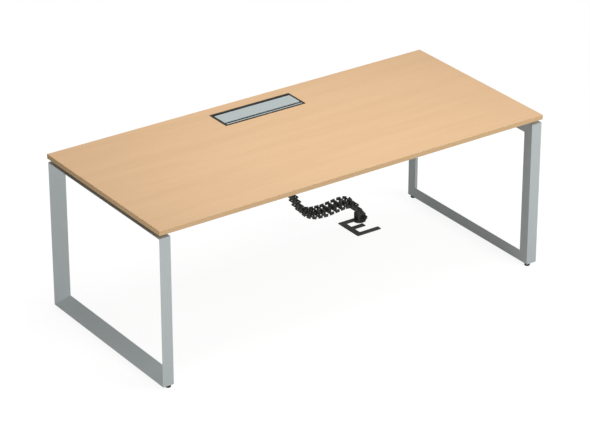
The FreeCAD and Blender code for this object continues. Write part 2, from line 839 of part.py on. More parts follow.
def chain_headings(sweep_angle):
    """Link headings from the hanger down, for one bend angle of the links that sweep in to the floor run."""
    low = -dim["low_angle"].value
    sweep = [low - sweep_angle * step for step in range(1, int(dim["sweep_links"].value) + 1)]
    steep = [sweep[-1]] * int(dim["steep_links"].value)
    climb_angle = dim["climb_angle"].value
    climb = [steep[-1] - climb_angle * step for step in range(1, int(dim["climb_links"].value) + 1)]
    hanging = [max(heading, STEEPEST) for heading in sweep + steep + climb]
    floor_run = [low] * int(dim["low_links"].value)
    floor_run += [dim["rise_angle"].value] * int(dim["rise_links"].value)
    ending = ("crest_angle", "brow_angle", "knee_angle", "shin_angle", "ankle_angle")
    return hanging[::-1] + floor_run + [-dim[name].value for name in ending]


def chain_fall(headings):
    """How far the chain comes down over all its links."""
    return -sum(dim["link_pitch"].value * math.sin(math.radians(heading)) for heading in headings)


def settled_sweep():
    """The bend angle at which the chain just reaches from the hanger to the floor plate, found by halving."""
    needed = (tray_floor - dim["hanger_drop"] - foot_z).value
    low, high = 0.0, -STEEPEST / dim["sweep_links"].value
    for _ in range(60):
        middle = (low + high) / 2
        if chain_fall(chain_headings(middle)) < needed:
            low = middle
        else:
            high = middle
    return (low + high) / 2


def chain_hinges(headings):
    """The hinge at the top of each link, then the foot's pivot. The foot stands where the chain ends."""
    pitch = dim["link_pitch"].value
    x = hanger_x.value
    z = foot_z.value + chain_fall(headings)
    points = [Vector(x, chain_y.value, z)]
    for heading in headings:
        x += pitch * math.cos(math.radians(heading))
        z += pitch * math.sin(math.radians(heading))
        points.append(Vector(x, chain_y.value, z))
    return points


headings = chain_headings(settled_sweep())
hinges = chain_hinges(headings)
hanger_z = as_size(hinges[0].z)
foot_x = as_size(hinges[-1].x)


def hanger_bolt_places():
    y = chain_y - dim["hanger_bolt_ahead"]
    return [(hanger_x + dim["hanger_bolt_spread"] / 2 * step, y) for step in (-1, 1)]


web_start = (dim["link_pitch"] - dim["link_web"]) / 2
web_end = web_start + dim["link_web"]
cheek_inner = dim["tongue_width"] / 2 + dim["hinge_clearance"]
stub_hole = dim["stub_diameter"] + dim["hinge_clearance"] * 2


def hinge_tongue(name):
    """The upper end of a link: a neck, a knuckle round the hinge at x = 0 and a stub each side of it."""
    tongue = dim["tongue_width"]
    neck_low = (0, tongue / -2, dim["tongue_height"] / -2)
    neck = box(f"{name}_neck", neck_low, (web_start + OVERCUT, tongue, dim["tongue_height"]))
    knuckle = cylinder(f"{name}_knuckle", (0, tongue / -2, 0), Y_AXIS, dim["knuckle_radius"] * 2, tongue)
    stub_base = (0, dim["stub_length"] / -2, 0)
    stub = cylinder(f"{name}_stub", stub_base, Y_AXIS, dim["stub_diameter"], dim["stub_length"])
    return [neck, knuckle, stub]


def hinge_cheeks(name, start, length):
    """The lower end of a link along +X: two round-ended cheeks and the hole that bores both of them."""
    cheeks = []
    radius = dim["knuckle_radius"]
    thick = dim["cheek_thickness"]
    for side_name, low_y in (("near", -cheek_inner - thick), ("far", cheek_inner)):
        plate_low = (start - OVERCUT, low_y, -radius)
        cheeks.append(box(f"{name}_{side_name}_cheek", plate_low, (length + OVERCUT, thick, radius * 2)))
        end = (start + length, low_y, 0)
        cheeks.append(cylinder(f"{name}_{side_name}_round", end, Y_AXIS, radius * 2, thick))
    bore_base = (start + length, -cheek_inner - thick - OVERCUT, 0)
    bore_length = (cheek_inner + thick + OVERCUT) * 2
    return cheeks, cylinder(f"{name}_bore", bore_base, Y_AXIS, stub_hole, bore_length)


def rounded_block(name, low, length, width, height, radius):
    """A block along X whose four long edges are rounded."""
    body = doc.addObject("PartDesign::Body", name)
    section = ((0, 0), (width, 0), (width, height), (0, height))
    block = pad(body, f"{name}_pad", outline(body, f"{name}_section", "YZ_Plane", section), length)
    along = length.value / 2
    round_edges(body, f"{name}_round", block, radius, lambda c: near(c.x, along))
    return place(body, low)


def chain_link():
    """One moulded link: a web across the chain with a hook high at its back and one low at its front.

    Together they make an S that cables are pressed into. Two slots take ties and thin cables.
    """
    width = dim["link_width"]
    height = dim["link_height"]
    reach = dim["link_hook_reach"]
    hook = dim["link_hook_height"]
    low_z = height / -2
    web_low = (web_start, width / -2, dim["link_web_height"] / -2)
    web = box("link_web", web_low, (dim["link_web"], width, dim["link_web_height"]))
    hook_span = (reach + dim["link_web"], dim["link_hook"], hook)
    back_low = (web_start - reach, width / 2 - dim["link_hook"], height / 2 - hook)
    back = box("link_back_hook", back_low, hook_span)
    front = box("link_front_hook", (web_start, width / -2, low_z), hook_span)
    length = dim["link_web"] + reach * 2
    envelope_low = (web_start - reach, width / -2, low_z)
    envelope = rounded_block("link_envelope", envelope_low, length, width, height, dim["link_round"])
    shell = doc.addObject("Part::Common", "link_shell")
    shell.Base = fuse("link_plates", web, back, front)
    shell.Tool = envelope
    cheeks, bore = hinge_cheeks("link", web_end, dim["link_pitch"] - web_end)
    solid = fuse("link_solid", shell, *hinge_tongue("link"), *cheeks)
    windows = []
    opening = dim["window_outer"] - dim["window_inner"]
    for side_name, y in (("near", -dim["window_outer"]), ("far", dim["window_inner"])):
        window_low = (web_start - OVERCUT, y, dim["window_height"] / -2)
        span = (dim["link_web"] + 2 * OVERCUT, opening, dim["window_height"])
        windows.append(box(f"link_{side_name}_window", window_low, span))
    return cut("link_blank", solid, bore, *windows)


def ankle_blank():
    """The last link: the same tongue, then a thick block whose round end, with a square toe, turns in the clevis."""
    width = dim["ankle_width"]
    thick = dim["ankle_thickness"]
    block_low = (web_start, width / -2, thick / -2)
    block = box("ankle_block", block_low, (dim["link_pitch"] - web_start, width, thick))
    end = cylinder("ankle_end", (dim["link_pitch"], width / -2, 0), Y_AXIS, thick, width)
    toe_depth = dim["ankle_toe_depth"]
    toe_low = (dim["link_pitch"], width / -2, thick / 2 - toe_depth)
    toe = box("ankle_toe", toe_low, (dim["ankle_toe"], width, toe_depth))
    across = dim["ankle_pin_diameter"] + dim["hinge_clearance"] * 2
    bore_base = (dim["link_pitch"], width / -2 - OVERCUT, 0)
    bore = cylinder("ankle_bore", bore_base, Y_AXIS, across, width + 2 * OVERCUT)
    return cut("ankle_cut", fuse("ankle_solid", block, end, toe, *hinge_tongue("ankle")), bore)


def chain():
    """Links are numbered from the tray down; the lowest one is the ankle."""
    blank = chain_link()
    ankle = ankle_blank()
    for number, (hinge, heading) in enumerate(zip(hinges, headings), start=1):
        lowest = number == len(headings)
        name = "chain_ankle" if lowest else f"chain_link_{number:02d}"
        spot = FreeCAD.Placement(hinge, Rotation(Y_AXIS, -heading))
        node(name, copy_at(f"{name}_set", ankle if lowest else blank, spot))


def chain_hanger():
    """Plate bolted under the tray, with a neck down to the fork that holds the first link."""
    y = chain_y
    plate_under = tray_floor - dim["hanger_plate"]
    plate_low = (hanger_x - dim["hanger_length"] / 2, y - dim["hanger_ahead"], plate_under)
    plate_span = (dim["hanger_length"], dim["hanger_ahead"] + dim["hanger_behind"], dim["hanger_plate"])
    plate = box("hanger_plate", plate_low, plate_span)
    neck_length = plate_under - hanger_z - web_start
    half_neck = cheek_inner + dim["cheek_thickness"]
    neck_low = (hanger_x - dim["hanger_neck"] / 2, y - half_neck, hanger_z + web_start)
    neck = box("hanger_neck", neck_low, (dim["hanger_neck"], half_neck * 2, neck_length + OVERCUT))
    cheeks, bore = hinge_cheeks("hanger", as_size(0), web_start)
    down = Rotation(Y_AXIS, 90)
    turned_down = place(fuse("hanger_fork", *cheeks), (hanger_x, y, hanger_z + web_start), down)
    bored_down = place(group("hanger_fork_bore", [bore]), (hanger_x, y, hanger_z + web_start), down)
    across = dim["hanger_bolt_diameter"] + clearance * 2
    holes = []
    for x, bolt_y in hanger_bolt_places():
        base = (x, bolt_y, plate_under - OVERCUT)
        holes.append(cylinder("hanger_bolt_hole", base, Z_AXIS, across, dim["hanger_plate"] + 2 * OVERCUT))
    solid = fuse("hanger_solid", plate, neck, turned_down)
    node("chain_hanger", cut("hanger_cut", solid, bored_down, *holes))


def hanger_bolts():
    bolts = []
    for x, y in hanger_bolt_places():
        low = tray_floor - dim["hanger_plate"] - dim["hanger_head_height"]
        head_height = dim["hanger_head_height"]
        head = cylinder("hanger_head", (x, y, low), Z_AXIS, dim["hanger_head_diameter"], head_height)
        length = head_height + dim["hanger_bolt_length"]
        shank = cylinder("hanger_shank", (x, y, low), Z_AXIS, dim["hanger_bolt_diameter"], length)
        bolts.append(fuse("hanger_bolt", head, shank))
    node("hanger_bolts", group("all_hanger_bolts", bolts))


# Floor plate, its clevis and the knobbed pin of the ankle
def floor_plate():
    """An E laid flat: a bar, a long front prong, a short middle one and a back one with a round landing."""
    foot = foot_x
    landing_x = foot - dim["clevis_behind"]
    thick = dim["plate_thickness"]
    back = chain_y + dim["landing_diameter"] / 2
    front = back - dim["plate_length"]
    left = foot - dim["bar_to_foot"]
    bar = left + dim["plate_bar"]
    prong = dim["prong_width"]
    mid_low = (front + back) / 2 - prong / 2
    front_tip = foot + dim["front_prong_past"]
    mid_tip = foot - dim["mid_prong_short"]
    back_low = back - dim["back_prong_width"]
    body = doc.addObject("PartDesign::Body", "plate_body")
    corners = (
        (left, front),
        (front_tip, front),
        (front_tip, front + prong),
        (bar, front + prong),
        (bar, mid_low),
        (mid_tip, mid_low),
        (mid_tip, mid_low + prong),
        (bar, mid_low + prong),
        (bar, back_low),
        (landing_x, back_low),
        (landing_x, back),
        (left, back),
    )
    pad(body, "plate_pad", outline(body, "plate_outline", "XY_Plane", corners), thick)
    landing = cylinder("plate_landing", (landing_x, chain_y, 0), Z_AXIS, dim["landing_diameter"], thick)
    node("floor_plate", fuse("plate_whole", body, landing))


def ankle_clevis():
    """A cup with two flats, welded on the plate's landing, slotted for the ankle and bored across for its pin."""
    seat = dim["plate_thickness"]
    across = dim["clevis_diameter"]
    middle_x = foot_x - dim["clevis_behind"]
    wall = cylinder("clevis_wall", (middle_x, chain_y, seat), Z_AXIS, across, dim["clevis_height"])
    slot_width = dim["ankle_width"] + dim["ankle_gap"] * 2
    left = middle_x - across / 2 - OVERCUT
    length = across + 2 * OVERCUT
    slot_low = (left, chain_y - slot_width / 2, seat + dim["clevis_floor"])
    slot = box("clevis_slot", slot_low, (length, slot_width, dim["clevis_height"]))
    waste = (across - dim["clevis_flats"]) / 2
    waste_span = (length, waste + OVERCUT, dim["clevis_height"] + 2 * OVERCUT)
    near_low = (left, chain_y - across / 2 - OVERCUT, seat - OVERCUT)
    near_waste = box("clevis_near_flat", near_low, waste_span)
    far_low = (left, chain_y + dim["clevis_flats"] / 2, seat - OVERCUT)
    far_waste = box("clevis_far_flat", far_low, waste_span)
    bore_base = (foot_x, chain_y - across / 2 - OVERCUT, foot_z)
    bore = cylinder("clevis_bore", bore_base, Y_AXIS, dim["ankle_pin_diameter"] + clearance * 2, length)
    node("ankle_clevis", cut("clevis_cut", wall, slot, near_waste, far_waste, bore))


def ankle_pin():
    """Pin through the cup: a plain head at the back; in front a collar and a fluted knob with a short lever down."""
    y = chain_y
    half = dim["clevis_flats"] / 2
    collar = dim["knob_collar_length"]
    height = dim["knob_height"]
    shank_across = dim["ankle_pin_diameter"]
    head_across = dim["pin_head_diameter"]
    shank = cylinder("pin_shank", (foot_x, y - half, foot_z), Y_AXIS, shank_across, half * 2)
    head = cylinder("pin_head", (foot_x, y + half, foot_z), Y_AXIS, head_across, dim["pin_head_height"])
    collar_base = (foot_x, y - half - collar, foot_z)
    neck = cylinder("pin_collar", collar_base, Y_AXIS, dim["knob_collar_diameter"], collar)
    knob_y = y - half - collar - height
    knob = cylinder("pin_knob", (foot_x, knob_y, foot_z), Y_AXIS, dim["knob_diameter"], height)
    flutes = []
    for step in range(int(dim["knob_flutes"].value)):
        angle = 2 * math.pi * step / dim["knob_flutes"].value
        x = foot_x + dim["knob_diameter"] / 2 * math.cos(angle)
        z = foot_z + dim["knob_diameter"] / 2 * math.sin(angle)
        base = (x, knob_y - OVERCUT, z)
        flutes.append(cylinder("knob_flute", base, Y_AXIS, dim["knob_flute_diameter"], height + 2 * OVERCUT))
    fluted = cut("pin_cut", fuse("pin_solid", shank, head, neck, knob), *flutes)
    bar = dim["knob_lever"]
    lever_low = (foot_x - bar / 2, knob_y + height / 2 - bar / 2, foot_z - dim["knob_lever_length"])
    lever = box("pin_lever", lever_low, (bar, bar, dim["knob_lever_length"]))
    node("ankle_pin", fuse("pin_whole", fluted, lever))


desktop_board()
edge_bands()
for side_label, side_sign in SIDES:
    loop_tubes(side_label, side_sign)
rail_spacers()
levelling_glides()
beams()
beam_brackets_and_bolts()
wood_screws()
unit_frame()
unit_lid()
lid_hinge_pins()
front_strip()
brush_strip()
cable_tray()
socket_bar()
chain_hanger()
hanger_bolts()
chain()
ankle_clevis()
ankle_pin()
floor_plate()
doc.recompute()

# Nothing is written unless every object is sound
for thing in doc.Objects:
    if "Invalid" in thing.State or "Error" in thing.State:
        raise RuntimeError(f"{thing.Name} did not build: {thing.State}")
for name, solid in nodes.items():
    if solid.Shape.isNull() or not solid.Shape.isValid() or not solid.Shape.Solids:
        raise RuntimeError(f"{name} has no sound shape")

os.makedirs("parts", exist_ok=True)
for name, solid in nodes.items():
    solid.Shape.exportStep(f"parts/{name}.step")
print(len(nodes), "sub-parts, hanger hinge at", hinges[0], "foot pivot at", hinges[-1])
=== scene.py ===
"""Looks of an office desk: a beech board on two closed silver loops, with a lidded power unit and a chain.

Lengths are metres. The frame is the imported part's own: +X along the board, -Y towards the sitter, +Z up.
"""
import math

import bmesh
import bpy
import numpy as np
from mathutils import Matrix, Vector


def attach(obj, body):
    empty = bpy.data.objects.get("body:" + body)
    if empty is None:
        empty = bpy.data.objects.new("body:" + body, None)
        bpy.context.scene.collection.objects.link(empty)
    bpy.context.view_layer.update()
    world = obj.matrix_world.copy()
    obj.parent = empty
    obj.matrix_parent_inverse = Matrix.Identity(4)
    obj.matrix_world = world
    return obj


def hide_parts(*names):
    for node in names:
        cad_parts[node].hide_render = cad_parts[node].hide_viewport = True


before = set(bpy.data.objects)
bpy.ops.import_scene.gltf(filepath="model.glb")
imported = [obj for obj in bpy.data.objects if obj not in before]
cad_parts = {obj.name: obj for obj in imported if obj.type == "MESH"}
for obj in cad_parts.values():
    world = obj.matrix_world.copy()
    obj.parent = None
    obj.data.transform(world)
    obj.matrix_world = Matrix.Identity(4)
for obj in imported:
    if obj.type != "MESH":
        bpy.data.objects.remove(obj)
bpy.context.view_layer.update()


# Board: chipboard pressed between two sheets of beech-print melamine, sawn to size and cut out for the unit.
# The print has long pale streaks, fine fibre lines and short dark flecks, all along the board's length.
# A list of steps says how many steps of a pattern go into a metre, along and across it.
BEECH_PALE = (0.80, 0.535, 0.315)
BEECH_DARK = (0.62, 0.385, 0.205)
STREAK_STEPS = (1.1, 16.0, 16.0)
STREAK_STOPS = (0.30, 0.72)
STREAK_DETAIL = 4.0
STREAK_SHARE = 0.16
FIBRE_STEPS = (9.0, 700.0, 700.0)
FIBRE_STOPS = (0.25, 0.75)
FIBRE_DETAIL = 3.0
FIBRE_SHARE = 0.22
FIBRE_ROUGHNESS = 0.10
FIBRE_HEIGHT = 0.6
FLECK_STEPS = (260.0, 1700.0, 1700.0)
FLECK_STOPS = (0.64, 0.72)
FLECK_DETAIL = 1.0
FLECK_SHARE = 0.45
FLECK_ROUGHNESS = 0.06
MELAMINE_ROUGHNESS = 0.56
MELAMINE_GLOSS = 0.25
MELAMINE_DEPTH = 0.00003


class Wire:
    """A shader socket that takes part in sums: each operator adds one Math node to the material."""

    def __init__(self, tree, socket):
        self.tree = tree
        self.socket = socket

    def node(self, kind, settings=None, inputs=None, output=0):
        """Adds a node of any kind: its settings first, then its values or links. Gives one of its outputs."""
        made = self.tree.nodes.new(kind)
        for name, value in (settings or {}).items():
            setattr(made, name, value)
        for name, value in (inputs or {}).items():
            if isinstance(value, Wire):
                self.tree.links.new(value.socket, made.inputs[name])
            else:
                made.inputs[name].default_value = value
        return Wire(self.tree, made.outputs[output])

    def reckon(self, operation, first, second):
        return self.node("ShaderNodeMath", {"operation": operation}, {0: first, 1: second})

    def __add__(self, other):
        return self.reckon("ADD", self, other)

    def __radd__(self, other):
        return self.reckon("ADD", other, self)

    def __sub__(self, other):
        return self.reckon("SUBTRACT", self, other)

    def __rsub__(self, other):
        return self.reckon("SUBTRACT", other, self)

    def __mul__(self, other):
        return self.reckon("MULTIPLY", self, other)

    def __rmul__(self, other):
        return self.reckon("MULTIPLY", other, self)

    def stretched(self, steps):
        """The same coordinates, counted in their own steps a metre along x, y and z."""
        return self.node("ShaderNodeVectorMath", {"operation": "MULTIPLY"}, {0: self, 1: steps})

    def cloud(self, detail):
        """Soft noise between 0 and 1 over these coordinates."""
        return self.node("ShaderNodeTexNoise", None, {"Vector": self, "Scale": 1.0, "Detail": detail})

    def ramp(self, low, high):
        """0 below low, 1 above high and a smooth rise between them."""
        settings = {"interpolation_type": "SMOOTHSTEP"}
        return self.node("ShaderNodeMapRange", settings, {"Value": self, "From Min": low, "From Max": high})

    def blend(self, low, high):
        """A colour from low to high as this value goes from 0 to 1. Each end is a colour or a wire."""
        ends = [end if isinstance(end, Wire) else (*end, 1) for end in (low, high)]
        return self.node("ShaderNodeMix", {"data_type": "RGBA"}, {0: self, 6: ends[0], 7: ends[1]}, 2)

    def bump(self, depth):
        """A surface normal, with this value as the height in units of depth."""
        return self.node("ShaderNodeBump", None, {"Height": self, "Strength": 1.0, "Distance": depth})

    def into(self, shader, name):
        self.tree.links.new(self.socket, shader.inputs[name])


def start_material(name):
    """A node material: gives it, its shader and the object coordinates in metres."""
    material = bpy.data.materials.new(name)
    material.use_nodes = True
    tree = material.node_tree
    shader = tree.nodes["Principled BSDF"]
    place = Wire(tree, tree.nodes.new("ShaderNodeTexCoord").outputs["Object"])
    return material, shader, place


def dress(material, *nodes):
    """Gives CAD nodes their material."""
    for name in nodes:
        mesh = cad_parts[name].data
        mesh.materials.clear()
        mesh.materials.append(material)


def beech(name, pale, dark, along):
    """Beech print, with its grain along the first of the coordinates that along makes from the place."""
    material, shader, place = start_material(name)
    grain = along(place)
    streak = grain.stretched(STREAK_STEPS).cloud(STREAK_DETAIL)
    fibre = grain.stretched(FIBRE_STEPS).cloud(FIBRE_DETAIL)
    fleck = grain.stretched(FLECK_STEPS).cloud(FLECK_DETAIL).ramp(*FLECK_STOPS)
    lines = streak.ramp(*STREAK_STOPS) * STREAK_SHARE + fibre.ramp(*FIBRE_STOPS) * FIBRE_SHARE
    (lines + fleck * FLECK_SHARE).blend(pale, dark).into(shader, "Base Color")
    roughness = MELAMINE_ROUGHNESS + fibre * FIBRE_ROUGHNESS + fleck * FLECK_ROUGHNESS
    roughness.into(shader, "Roughness")
    shader.inputs["Specular IOR Level"].default_value = MELAMINE_GLOSS
    (fibre * FIBRE_HEIGHT - fleck).bump(MELAMINE_DEPTH).into(shader, "Normal")
    return material


dress(beech("beech_print", BEECH_PALE, BEECH_DARK, lambda place: place), "desktop_board")


# Edge bands: 2 mm plastic strips in the board's beech print.
# They are glued on round its four sides, trimmed flush and rounded at the rims.
EDGE_PALE = (0.80, 0.545, 0.305)
EDGE_DARK = (0.63, 0.400, 0.205)
BAND_SLANT = 0.5


def round_the_board(place):
    """Coordinates for the bands: x plus y, which runs along each band, then z across it and a share of z."""
    x, y, z = [place.node("ShaderNodeSeparateXYZ", None, {0: place}, axis) for axis in range(3)]
    return place.node("ShaderNodeCombineXYZ", None, {0: x + y, 1: z, 2: z * BAND_SLANT})


dress(beech("beech_edge", EDGE_PALE, EDGE_DARK, round_the_board), "edge_bands")


# Loops: three-sided steel tube, mitred and welded into two closed frames, blasted and coated in silver.
# The coat is satin with the slight orange peel and the fine glitter of metal flake.
SILVER_COAT = (0.635, 0.695, 0.695)
SILVER_FLAKE = (0.715, 0.775, 0.775)
SILVER_METALLIC = 0.25
SILVER_ROUGHNESS = 0.46
PEEL_STEPS = (700.0, 700.0, 700.0)
PEEL_DETAIL = 2.0
PEEL_ROUGHNESS = 0.06
PEEL_DEPTH = 0.00004
BROAD_STEPS = (9.0, 9.0, 9.0)
BROAD_DETAIL = 2.0
BROAD_SHARE = 0.3
FLAKE_STEPS = (3300.0, 3300.0, 3300.0)
FLAKE_STOPS = (0.45, 0.70)
FLAKE_DETAIL = 0.0
FLAKE_SHARE = 0.7
FLAKE_GLOSS = 0.08
LOOP_TUBES = ("front_post", "back_post", "top_rail", "bottom_rail")


def powder_coat(name, colour, flake_colour, metallic, roughness):
    """Powder coat: a soft peel about a millimetre wide, with flakes of another tone in it."""
    material, shader, place = start_material(name)
    peel = place.stretched(PEEL_STEPS).cloud(PEEL_DETAIL)
    broad = place.stretched(BROAD_STEPS).cloud(BROAD_DETAIL)
    flake = place.stretched(FLAKE_STEPS).cloud(FLAKE_DETAIL).ramp(*FLAKE_STOPS)
    (flake * FLAKE_SHARE + broad * BROAD_SHARE).blend(colour, flake_colour).into(shader, "Base Color")
    (roughness - flake * FLAKE_GLOSS + peel * PEEL_ROUGHNESS).into(shader, "Roughness")
    peel.bump(PEEL_DEPTH).into(shader, "Normal")
    shader.inputs["Metallic"].default_value = metallic
    return material


silver = powder_coat("silver_powder", SILVER_COAT, SILVER_FLAKE, SILVER_METALLIC, SILVER_ROUGHNESS)
dress(silver, *[f"{side}_{tube}" for side in ("left", "right") for tube in LOOP_TUBES])


# Spacers between loop and board: turned black plastic discs with a stem that is pressed into the top rail.
# They carry the board's ends and leave the dark gap under it.
BLACK = (0.022, 0.023, 0.023)
BLACK_WORN = (0.034, 0.036, 0.036)
BLACK_ROUGHNESS = 0.42
BLACK_PITS = 1600.0
PIT_DETAIL = 2.0
PIT_SHARE = 0.3
PIT_ROUGHNESS = 0.10
PIT_DEPTH = 0.00005
DRIFT_STEPS = (25.0, 25.0, 25.0)
DRIFT_STOPS = (0.3, 0.7)
DRIFT_DETAIL = 3.0
DRIFT_SHARE = 0.7
DRIFT_ROUGHNESS = 0.06


def moulded(name, colour, worn, roughness, pits_a_metre):
    """Moulded plastic: fine spark-eroded pits and a slow drift from one tone to the other."""
    material, shader, place = start_material(name)
    pits = place.stretched((pits_a_metre, pits_a_metre, pits_a_metre)).cloud(PIT_DETAIL)
    drift = place.stretched(DRIFT_STEPS).cloud(DRIFT_DETAIL)
    (drift.ramp(*DRIFT_STOPS) * DRIFT_SHARE + pits * PIT_SHARE).blend(colour, worn).into(shader, "Base Color")
    (roughness + pits * PIT_ROUGHNESS + drift * DRIFT_ROUGHNESS).into(shader, "Roughness")
    pits.bump(PIT_DEPTH).into(shader, "Normal")
    return material


black_plastic = moulded("black_plastic", BLACK, BLACK_WORN, BLACK_ROUGHNESS, BLACK_PITS)
dress(black_plastic, "rail_spacers")


# Glides: a turned nylon pad on a zinc-plated stud with a hexagon to set its height, one under each corner.
# The studs screw into nuts welded inside the bottom rails.
PAD_RADIUS = 0.0125
PAD_HEIGHT = 0.009
PAD_RIM = 0.002
PAD_SOLE = 0.00525
PAD_SHOULDER = 0.00992
PAD_COLLAR = 0.008
PAD_SEAT = 0.0105
PAD_SIDES = 48
RIM_POINTS = 7
HEX_ACROSS = 0.016
HEX_TOP = 0.0146
HEX_LEVELS = 9
CONE_RADIUS = 0.00872
CONE_SLOPE = 1.7
STUD_RADIUS = 0.0038
STUD_TOP = 0.0325
STUD_SIDES = 72
STUD_LEVELS = 150
THREAD_DEPTH = 0.0005
THREAD_PITCH = 0.00125
POLE_MERGE = 1e-7
GLIDE_X = 0.963
GLIDE_Y = 0.428
GLIDE_SPOTS = {
    "left_front_glide": (-GLIDE_X, -GLIDE_Y),
    "left_back_glide": (-GLIDE_X, GLIDE_Y),
    "right_front_glide": (GLIDE_X, -GLIDE_Y),
    "right_back_glide": (GLIDE_X, GLIDE_Y),
}
NYLON = (0.016, 0.016, 0.017)
NYLON_WORN = (0.028, 0.028, 0.029)
NYLON_ROUGHNESS = 0.36
NYLON_PITS = 900.0
ZINC = (0.56, 0.57, 0.58)
ZINC_DULL = (0.43, 0.44, 0.43)
ZINC_ROUGHNESS = 0.46
SPANGLE_STEPS = (240.0, 240.0, 240.0)
SPANGLE_STOPS = (0.35, 0.65)
SPANGLE_DETAIL = 3.0
SPANGLE_GLOSS = 0.18


def surface(name, points, material, round_row=False):
    """A mesh over a grid of points (strips, rows, columns, 3); columns close into rings if round_row is set.

    A row whose points all meet becomes one point, so that a turned shape is shut at its poles.
    """
    strips, rows, columns, _ = points.shape
    point = np.arange(strips * rows * columns).reshape(strips, rows, columns)
    columns_used = columns if round_row else columns - 1
    here = point[:, :, :columns_used]
    beside = np.roll(point, -1, axis=2)[:, :, :columns_used]
    corners = [here[:, :-1], beside[:, :-1], beside[:, 1:], here[:, 1:]]
    faces = np.stack(corners, axis=-1).reshape(-1, 4)
    mesh = bpy.data.meshes.new(name)
    mesh.from_pydata(points.reshape(-1, 3).tolist(), [], faces.tolist())
    shell = bmesh.new()
    shell.from_mesh(mesh)
    bmesh.ops.remove_doubles(shell, verts=shell.verts, dist=POLE_MERGE)
    shell.to_mesh(mesh)
    shell.free()
    mesh.shade_smooth()
    mesh.materials.append(material)
    made = bpy.data.objects.new(name, mesh)
    bpy.context.scene.collection.objects.link(made)
    return made


def turned(centre, radius, height, angle):
    """Rings round an upright line: x and y are radius times the angle's cosine and sine, z is the height."""
    x = centre[0] + radius * np.cos(angle)
    y = centre[1] + radius * np.sin(angle)
    z = np.broadcast_to(height[:, None], x.shape)
    return np.stack([x, y, z], axis=-1)[None]


def turned_pad(centre):
    """A profile turned round the vertical: out along the sole, up round two rims and in over the shoulder."""
    quarter = np.linspace(0.0, math.pi / 2, RIM_POINTS)
    inner = PAD_RADIUS - PAD_RIM
    radius = np.concatenate([
        [0.0, PAD_SOLE],
        inner + PAD_RIM * np.sin(quarter),
        inner + PAD_RIM * np.cos(quarter),
        [PAD_SHOULDER, PAD_COLLAR, 0.0],
    ])
    height = np.concatenate([
        [0.0, 0.0],
        PAD_RIM * (1 - np.cos(quarter)),
        PAD_HEIGHT - PAD_RIM * (1 - np.sin(quarter)),
        [PAD_HEIGHT, PAD_SEAT, PAD_SEAT],
    ])
    angle = np.linspace(0.0, 2 * math.pi, PAD_SIDES, endpoint=False)
    return turned(centre, radius[:, None], height, angle)


def hexagon_and_stud(centre):
    """A turned profile: first a hexagon cut back by a cone at its ends, then a stud that follows a thread.

    On the hexagon the radius is half the width over the cosine of the angle from the nearest flat, at most
    the cone's. On the stud it falls by the thread's depth as height less one pitch a turn goes through
    a pitch.
    """
    angle = np.linspace(0.0, 2 * math.pi, STUD_SIDES, endpoint=False)
    from_flat = (angle + math.pi / 6) % (math.pi / 3) - math.pi / 6
    flats = HEX_ACROSS / 2 / np.cos(from_flat)
    hex_height = np.linspace(PAD_SEAT, HEX_TOP, HEX_LEVELS)
    from_end = np.minimum(hex_height - PAD_SEAT, HEX_TOP - hex_height)
    cone = CONE_RADIUS + from_end * CONE_SLOPE
    hexagon = np.minimum(flats[None, :], cone[:, None])
    stud_height = np.linspace(HEX_TOP, STUD_TOP, STUD_LEVELS)
    turn = (stud_height[:, None] / THREAD_PITCH - angle[None, :] / (2 * math.pi)) % 1.0
    stud = STUD_RADIUS - THREAD_DEPTH * np.abs(2 * turn - 1)
    radius = np.concatenate([hexagon[:1] * 0, hexagon, stud, stud[-1:] * 0])
    height = np.concatenate([hex_height[:1], hex_height, stud_height, stud_height[-1:]])
    return turned(centre, radius, height, angle)


def plated(name, bright, dull):
    """Zinc plate: soft spangles a few millimetres wide, brighter and smoother where the plate is thick."""
    material, shader, place = start_material(name)
    spangle = place.stretched(SPANGLE_STEPS).cloud(SPANGLE_DETAIL)
    spangle.ramp(*SPANGLE_STOPS).blend(dull, bright).into(shader, "Base Color")
    (ZINC_ROUGHNESS - spangle * SPANGLE_GLOSS).into(shader, "Roughness")
    shader.inputs["Metallic"].default_value = 1.0
    return material


nylon = moulded("glide_nylon", NYLON, NYLON_WORN, NYLON_ROUGHNESS, NYLON_PITS)
zinc = plated("zinc_plate", ZINC, ZINC_DULL)
for glide, spot in GLIDE_SPOTS.items():
    pad = surface(f"{glide}_pad", turned_pad(spot), nylon, round_row=True)
    stud = surface(f"{glide}_stud", hexagon_and_stud(spot), zinc, round_row=True)
    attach(pad, glide)
    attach(stud, glide)
    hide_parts(glide)
dress(zinc, "glide_nuts")


# Beams: two boxes of black-coated steel that tie the loops together under the board. A plate at each end is
# welded on and bolted to the loop's top rail; wood screws go up through the beams into the board.
COAT_BLACK = (0.018, 0.019, 0.019)
COAT_FLAKE = (0.032, 0.034, 0.034)
COAT_METALLIC = 0.0
COAT_ROUGHNESS = 0.50
black_coat = powder_coat("black_powder", COAT_BLACK, COAT_FLAKE, COAT_METALLIC, COAT_ROUGHNESS)
dress(black_coat, "front_beam", "back_beam", "beam_brackets")
dress(zinc, "beam_bolts", "wood_screws")


# Power unit: a moulded black frame dropped into the board's cut-out, whose thin flange hides the saw line.
# Two steel pins in its skirt carry the lid.
EDGE_SOFT = 0.0005
EDGE_JOIN = 0.00001
EDGE_SEGMENTS = 2
EDGE_ANGLE = 40.0


def soften(width, *nodes):
    """Breaks the sharp edges of CAD nodes with a narrow rounded bevel."""
    for name in nodes:
        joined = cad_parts[name].modifiers.new("joined", "WELD")
        joined.merge_threshold = EDGE_JOIN
        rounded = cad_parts[name].modifiers.new("rounded", "BEVEL")
        rounded.width = width
        rounded.segments = EDGE_SEGMENTS
        rounded.limit_method = "ANGLE"
        rounded.angle_limit = math.radians(EDGE_ANGLE)


